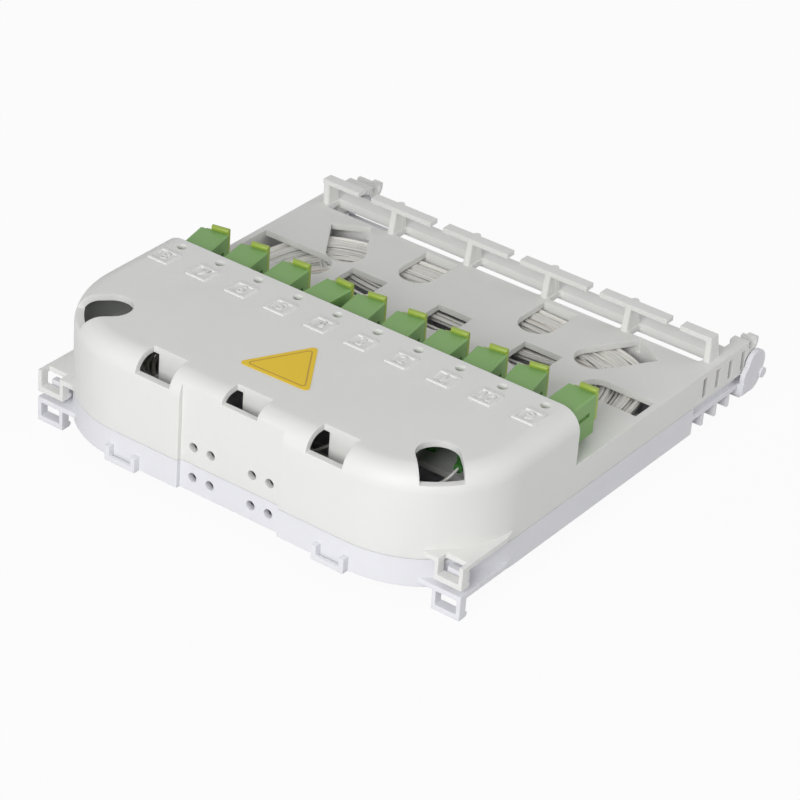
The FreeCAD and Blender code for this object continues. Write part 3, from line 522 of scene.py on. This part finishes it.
def make_sticker_line():
    # Thin printed line a little inside the sticker's edge
    line = copy_of("sticker", "sticker_line")
    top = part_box("sticker")[1].z
    choose_faces(line, lambda face: face.normal.z < FACES_UP or face.center.z < top - MERGE)
    bpy.ops.mesh.delete(type="FACE")
    bpy.ops.object.mode_set(mode="OBJECT")
    rim = [v.co.copy() for v in line.data.vertices]
    middle = sum(rim, Vector()) / len(rim)
    bpy.ops.object.mode_set(mode="EDIT")
    bpy.ops.mesh.select_all(action="SELECT")
    bpy.ops.transform.resize(value=(LINE_OUTER, LINE_OUTER, 1), center_override=middle)
    bpy.ops.mesh.inset(thickness=LINE_W)
    bpy.ops.mesh.delete(type="ONLY_FACE")
    bpy.ops.mesh.select_all(action="SELECT")
    bpy.ops.mesh.extrude_region_move(TRANSFORM_OT_translate={"value": (0, 0, LINE_RISE)})
    bpy.ops.mesh.select_all(action="SELECT")
    bpy.ops.mesh.normals_make_consistent(inside=False)
    bpy.ops.object.mode_set(mode="OBJECT")
    settle(line, "cover", "sticker_yellow", finish_of["sticker_amber"])


def make_cap_beads():
    # The rounded bead along the top of a cap's thumb tab, modelled once
    bpy.ops.object.select_all(action="DESELECT")
    bpy.ops.mesh.primitive_cylinder_add(
        vertices=BEAD_SIDES,
        radius=BEAD_R,
        depth=TAB_W - BEAD_SHORT,
        rotation=(0, math.pi / 2, 0),
    )
    first = bpy.context.object
    bpy.ops.object.transform_apply(location=True, rotation=True, scale=True)
    bevel = first.modifiers.new("bead_edge", "BEVEL")
    bevel.width = BEAD_EDGE
    bevel.segments = EDGE_STEPS
    bevel.limit_method = "ANGLE"
    bevel.angle_limit = SHARP_ANGLE
    bpy.ops.object.modifier_apply(modifier=bevel.name)
    bpy.ops.object.shade_smooth_by_angle(angle=SHARP_ANGLE)
    for k in range(1, PORTS + 1):
        cap = nodes["dust_cap_%d" % k]
        out = Vector(joints["cap_%d_pull" % k]["axis"])
        across = Vector((out.y, -out.x, 0))
        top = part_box("dust_cap_%d" % k)[1].z
        tab = [v.co for v in cap.data.vertices if v.co.z > top - BEAD_R]
        side = [at.dot(across) for at in tab]
        front = min(at.dot(out) for at in tab)
        middle = (min(side) + max(side)) / 2
        lift = Vector((0, 0, top - BEAD_R))
        select_only(first)
        bpy.ops.object.duplicate()
        bead = bpy.context.object
        bead.name = "cap_bead_%d" % k
        bead.rotation_euler.z = math.atan2(-out.x, out.y)
        bead.location = across * middle + out * (front + BEAD_AHEAD) + lift
        bpy.ops.object.transform_apply(location=True, rotation=True, scale=True)
        settle(bead, "cap_%d" % k, "cap_lime")
    bpy.data.objects.remove(first)


# Fibre

def strand_curve(name, radius):
    curve = bpy.data.curves.new(name, "CURVE")
    curve.dimensions = "3D"
    curve.bevel_depth = radius
    curve.bevel_resolution = STRAND_ROUND
    curve.resolution_u = STRAND_STEPS
    curve.use_fill_caps = True
    obj = bpy.data.objects.new(name, curve)
    bpy.context.scene.collection.objects.link(obj)
    return obj


def add_strand(obj, points, closed):
    spline = obj.data.splines.new("NURBS")
    spline.points.add(len(points) - 1)
    for point, at in zip(spline.points, points):
        point.co = (*at, 1)
    spline.order_u = STRAND_ORDER
    spline.use_cyclic_u = closed
    spline.use_endpoint_u = not closed


def finish_strands(obj, rng):
    # Every strand has the same number of points, so its tint goes by their order
    count = len(obj.data.splines)
    select_only(obj)
    bpy.ops.object.convert(target="MESH")
    bpy.ops.object.shade_smooth()
    mesh = bpy.context.object.data
    each = len(mesh.vertices) // count
    tints = [rng.random() for _ in range(count)]
    tint = mesh.attributes.new("strand", "FLOAT", "POINT")
    for i in range(len(mesh.vertices)):
        tint.data[i].value = tints[min(i // each, count - 1)]


def turn_points(box, inset, z, steps):
    # Guide points of a turn of fibre, or of part of one, laid round inside a case
    half = box[1].x - inset
    reach = (box[1].y - box[0].y) / 2 - inset
    middle = (box[0].y + box[1].y) / 2
    points = []
    for i in steps:
        t = 2 * math.pi * i / TURN_POINTS
        x = math.copysign(abs(math.cos(t)) ** TURN_ROUND, math.cos(t))
        y = math.copysign(abs(math.sin(t)) ** TURN_ROUND, math.sin(t))
        points.append(Vector((half * x, middle + reach * y, z)))
    return points


def lay_turns(store, rng, box, turns, height, steps, bow=0.0):
    # Turns at chance places between their insets and heights, each a little astray;
    # up to the bow, the rear run of a turn bends towards the front
    count, inset, sway = turns
    centre = (box[0] + box[1]) / 2
    for _ in range(count):
        far = inset[0] + (inset[1] - inset[0]) * rng.random() ** INSET_LEAN
        z = height[0] + (height[1] - height[0]) * rng.random() ** HEIGHT_LEAN
        bend = Vector((0, -bow * rng.random(), 0))
        points = []
        for step, at in zip(steps, turn_points(box, far, z, steps)):
            if step in REAR_STEPS:
                at += bend
            inward = (centre - at).to_2d().normalized().to_3d()
            rise = Vector((0, 0, RISE_SHARE * (rng.random() - 0.5)))
            points.append(at + sway * (inward * rng.random() + rise))
        add_strand(store, points, len(steps) == TURN_POINTS)


def make_patch_store():
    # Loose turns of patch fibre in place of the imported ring, up to the plate and its rear wall
    rng = random.Random(PATCH_SEED)
    low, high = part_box("patch_coil")
    box = (low, high + Vector((0, STORE_REAR, 0)))
    height = (low.z + FIBRE_R, high.z + STORE_OVER)
    plate = [high.z + over for over in PLATE_OVER]
    upper = [high.z + over for over in UPPER_OVER]
    turns = strand_curve("patch_fibres", FIBRE_R)
    lay_turns(turns, rng, box, STORE_TURNS, height, WHOLE_TURN)
    lay_turns(turns, rng, box, PLATE_TURNS, plate, WHOLE_TURN)
    lay_turns(turns, rng, box, BOWED_TURNS, height, WHOLE_TURN, BOW)
    finish_strands(turns, rng)
    stand_for(turns, "patch_coil")

    # Slack of the same fibre fans out along the rear, and finer fibre lies over it to the left
    slack = strand_curve("patch_slack", FIBRE_R)
    lay_turns(slack, rng, box, SLACK_TURNS, upper, SLACK_STEPS)
    finish_strands(slack, rng)
    settle(slack, "cover", "fibre_cream")
    fine = strand_curve("fine_fibres", FINE_FIBRE_R)
    lay_turns(fine, rng, box, FINE_TURNS, upper, FINE_STEPS)
    finish_strands(fine, rng)
    settle(fine, "cover", "fibre_cream")


def make_splice_store():
    # Loose turns of bare fibre in place of the ring in the tray
    rng = random.Random(SPLICE_SEED)
    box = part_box("splice_coil")
    height = (box[0].z + SPLICE_FIBRE_R, box[1].z + SPLICE_OVER)
    turns = strand_curve("splice_fibres", SPLICE_FIBRE_R)
    lay_turns(turns, rng, box, SPLICE_TURNS, height, WHOLE_TURN)
    finish_strands(turns, rng)
    stand_for(turns, "splice_coil")


def make_pigtails():
    # From each boot the fibre turns down and runs aside into the store below
    rng = random.Random(PIGTAIL_SEED)
    tails = strand_curve("pigtail_fibres", FIBRE_R)
    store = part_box("patch_coil")
    bed = store[1].z
    for k in range(1, PORTS + 1):
        low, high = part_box("adapter_%d" % k)
        out = Vector(joints["cap_%d_pull" % k]["axis"])
        tip = (low + high) / 2 - out * BOOT_REACH
        aside = 1 if k <= TAILS_TO_RIGHT else -1
        run = TAIL_RUN + TAIL_RUN_MORE * rng.random()
        lay = store[0].y + TAIL_LAY + TAIL_LAY_MORE * rng.random()
        points = [
            tip + out * TAIL_IN_BOOT,
            tip - out * TAIL_STRAIGHT,
            tip - out * TAIL_BEND + Vector((aside * TAIL_ASIDE, 0, -TAIL_DROP)),
            Vector((tip.x + aside * TAIL_HALFWAY * run, (tip.y + lay) / 2, (tip.z + bed) / 2)),
            Vector((tip.x + aside * run, lay, bed)),
            Vector((tip.x + aside * (run + TAIL_END), lay, bed - TAIL_SINK)),
        ]
        add_strand(tails, points, False)
    finish_strands(tails, rng)
    stand_for(tails, "pigtails")


soften("upper_cover", "cover_moulding", HOUSING_EDGE, True)
soften("splice_tray", "tray_moulding", HOUSING_EDGE, True)
soften("splice_holder", "splice_holder_moulding", ADAPTER_EDGE)
soften("splitter", "splitter_housing", SPLITTER_EDGE)
for k in range(1, PORTS + 1):
    soften("adapter_%d" % k, "adapter_body_%d" % k, ADAPTER_EDGE)
    soften("dust_cap_%d" % k, "dust_cap_body_%d" % k, CAP_EDGE)
    soften("plug_%d" % k, "plug_body_%d" % k, PLUG_EDGE)
make_port_numbers()
make_sticker_line()
make_cap_beads()
make_patch_store()
make_splice_store()
make_pigtails()


# Studio

def add_lamp(name, place, size, power):
    data = bpy.data.lights.new(name, "AREA")
    data.shape = "SQUARE"
    data.size = size
    data.energy = power
    lamp = bpy.data.objects.new(name, data)
    bpy.context.scene.collection.objects.link(lamp)
    lamp.location = place
    lamp.rotation_mode = "QUATERNION"
    aim = (cad_low + cad_high) / 2
    lamp.rotation_quaternion = (aim - Vector(place)).to_track_quat("-Z", "Y")


def seen_rays(tree):
    # One for camera, glossy and transmission rays, so reflections show the white studio too
    path = tree.nodes.new("ShaderNodeLightPath")
    total = path.outputs["Is Camera Ray"]
    for kind in ("Is Glossy Ray", "Is Transmission Ray"):
        add = tree.nodes.new("ShaderNodeMath")
        add.operation = "ADD"
        add.use_clamp = True
        tree.links.new(total, add.inputs[0])
        tree.links.new(path.outputs[kind], add.inputs[1])
        total = add.outputs["Value"]
    return total


def make_floor():
    # Pale floor that takes the shadow, nearly white where it is seen
    bpy.ops.object.select_all(action="DESELECT")
    bpy.ops.mesh.primitive_plane_add(size=FLOOR_SIZE, location=(0, 0, cad_low.z))
    floor = bpy.context.object
    floor.name = "floor"
    mat = bpy.data.materials.new("floor_pale")
    mat.use_nodes = True
    tree = mat.node_tree
    paper = tree.nodes["Principled BSDF"]
    paper.inputs["Base Color"].default_value = (FLOOR_PALE, FLOOR_PALE, FLOOR_PALE, 1)
    paper.inputs["Roughness"].default_value = FLOOR_ROUGH
    glow = add_node(tree, "ShaderNodeEmission", Color=(1, 1, 1, 1), Strength=1.0)
    share = tree.nodes.new("ShaderNodeMapRange")
    share.inputs["To Max"].default_value = FLOOR_GLOW
    mix = tree.nodes.new("ShaderNodeMixShader")
    tree.links.new(seen_rays(tree), share.inputs["Value"])
    tree.links.new(share.outputs["Result"], mix.inputs["Fac"])
    tree.links.new(paper.outputs["BSDF"], mix.inputs[1])
    tree.links.new(glow.outputs["Emission"], mix.inputs[2])
    tree.links.new(mix.outputs["Shader"], tree.nodes["Material Output"].inputs["Surface"])
    floor.data.materials.append(mat)


def make_world():
    world = bpy.data.worlds.new("studio")
    bpy.context.scene.world = world
    world.use_nodes = True
    tree = world.node_tree
    back = tree.nodes["Background"]
    back.inputs["Color"].default_value = (1, 1, 1, 1)
    level = tree.nodes.new("ShaderNodeMapRange")
    level.inputs["To Min"].default_value = SKY_LIGHT
    level.inputs["To Max"].default_value = 1.0
    tree.links.new(seen_rays(tree), level.inputs["Value"])
    tree.links.new(level.outputs["Result"], back.inputs["Strength"])


def make_camera():
    data = bpy.data.cameras.new("photo_camera")
    data.lens = CAMERA_LENS
    data.sensor_width = CAMERA_SENSOR
    camera = bpy.data.objects.new("photo_camera", data)
    bpy.context.scene.collection.objects.link(camera)
    sin_a, cos_a = math.sin(CAMERA_TURN), math.cos(CAMERA_TURN)
    sin_e, cos_e = math.sin(CAMERA_TILT), math.cos(CAMERA_TILT)
    ahead = Vector((-sin_a * cos_e, cos_a * cos_e, -sin_e))
    level = Vector((cos_a, sin_a, 0))
    above = level.cross(ahead)
    right = math.cos(CAMERA_ROLL) * level + math.sin(CAMERA_ROLL) * above
    up = math.cos(CAMERA_ROLL) * above - math.sin(CAMERA_ROLL) * level
    turn = Matrix((right, up, -ahead)).transposed()
    camera.matrix_world = Matrix.Translation(CAMERA_AT) @ turn.to_4x4()
    bpy.context.scene.camera = camera


make_floor()
make_world()
make_camera()
for name, place, size, power in LAMPS:
    add_lamp(name, place, size, power)
bpy.context.scene.view_settings.view_transform = "Standard"
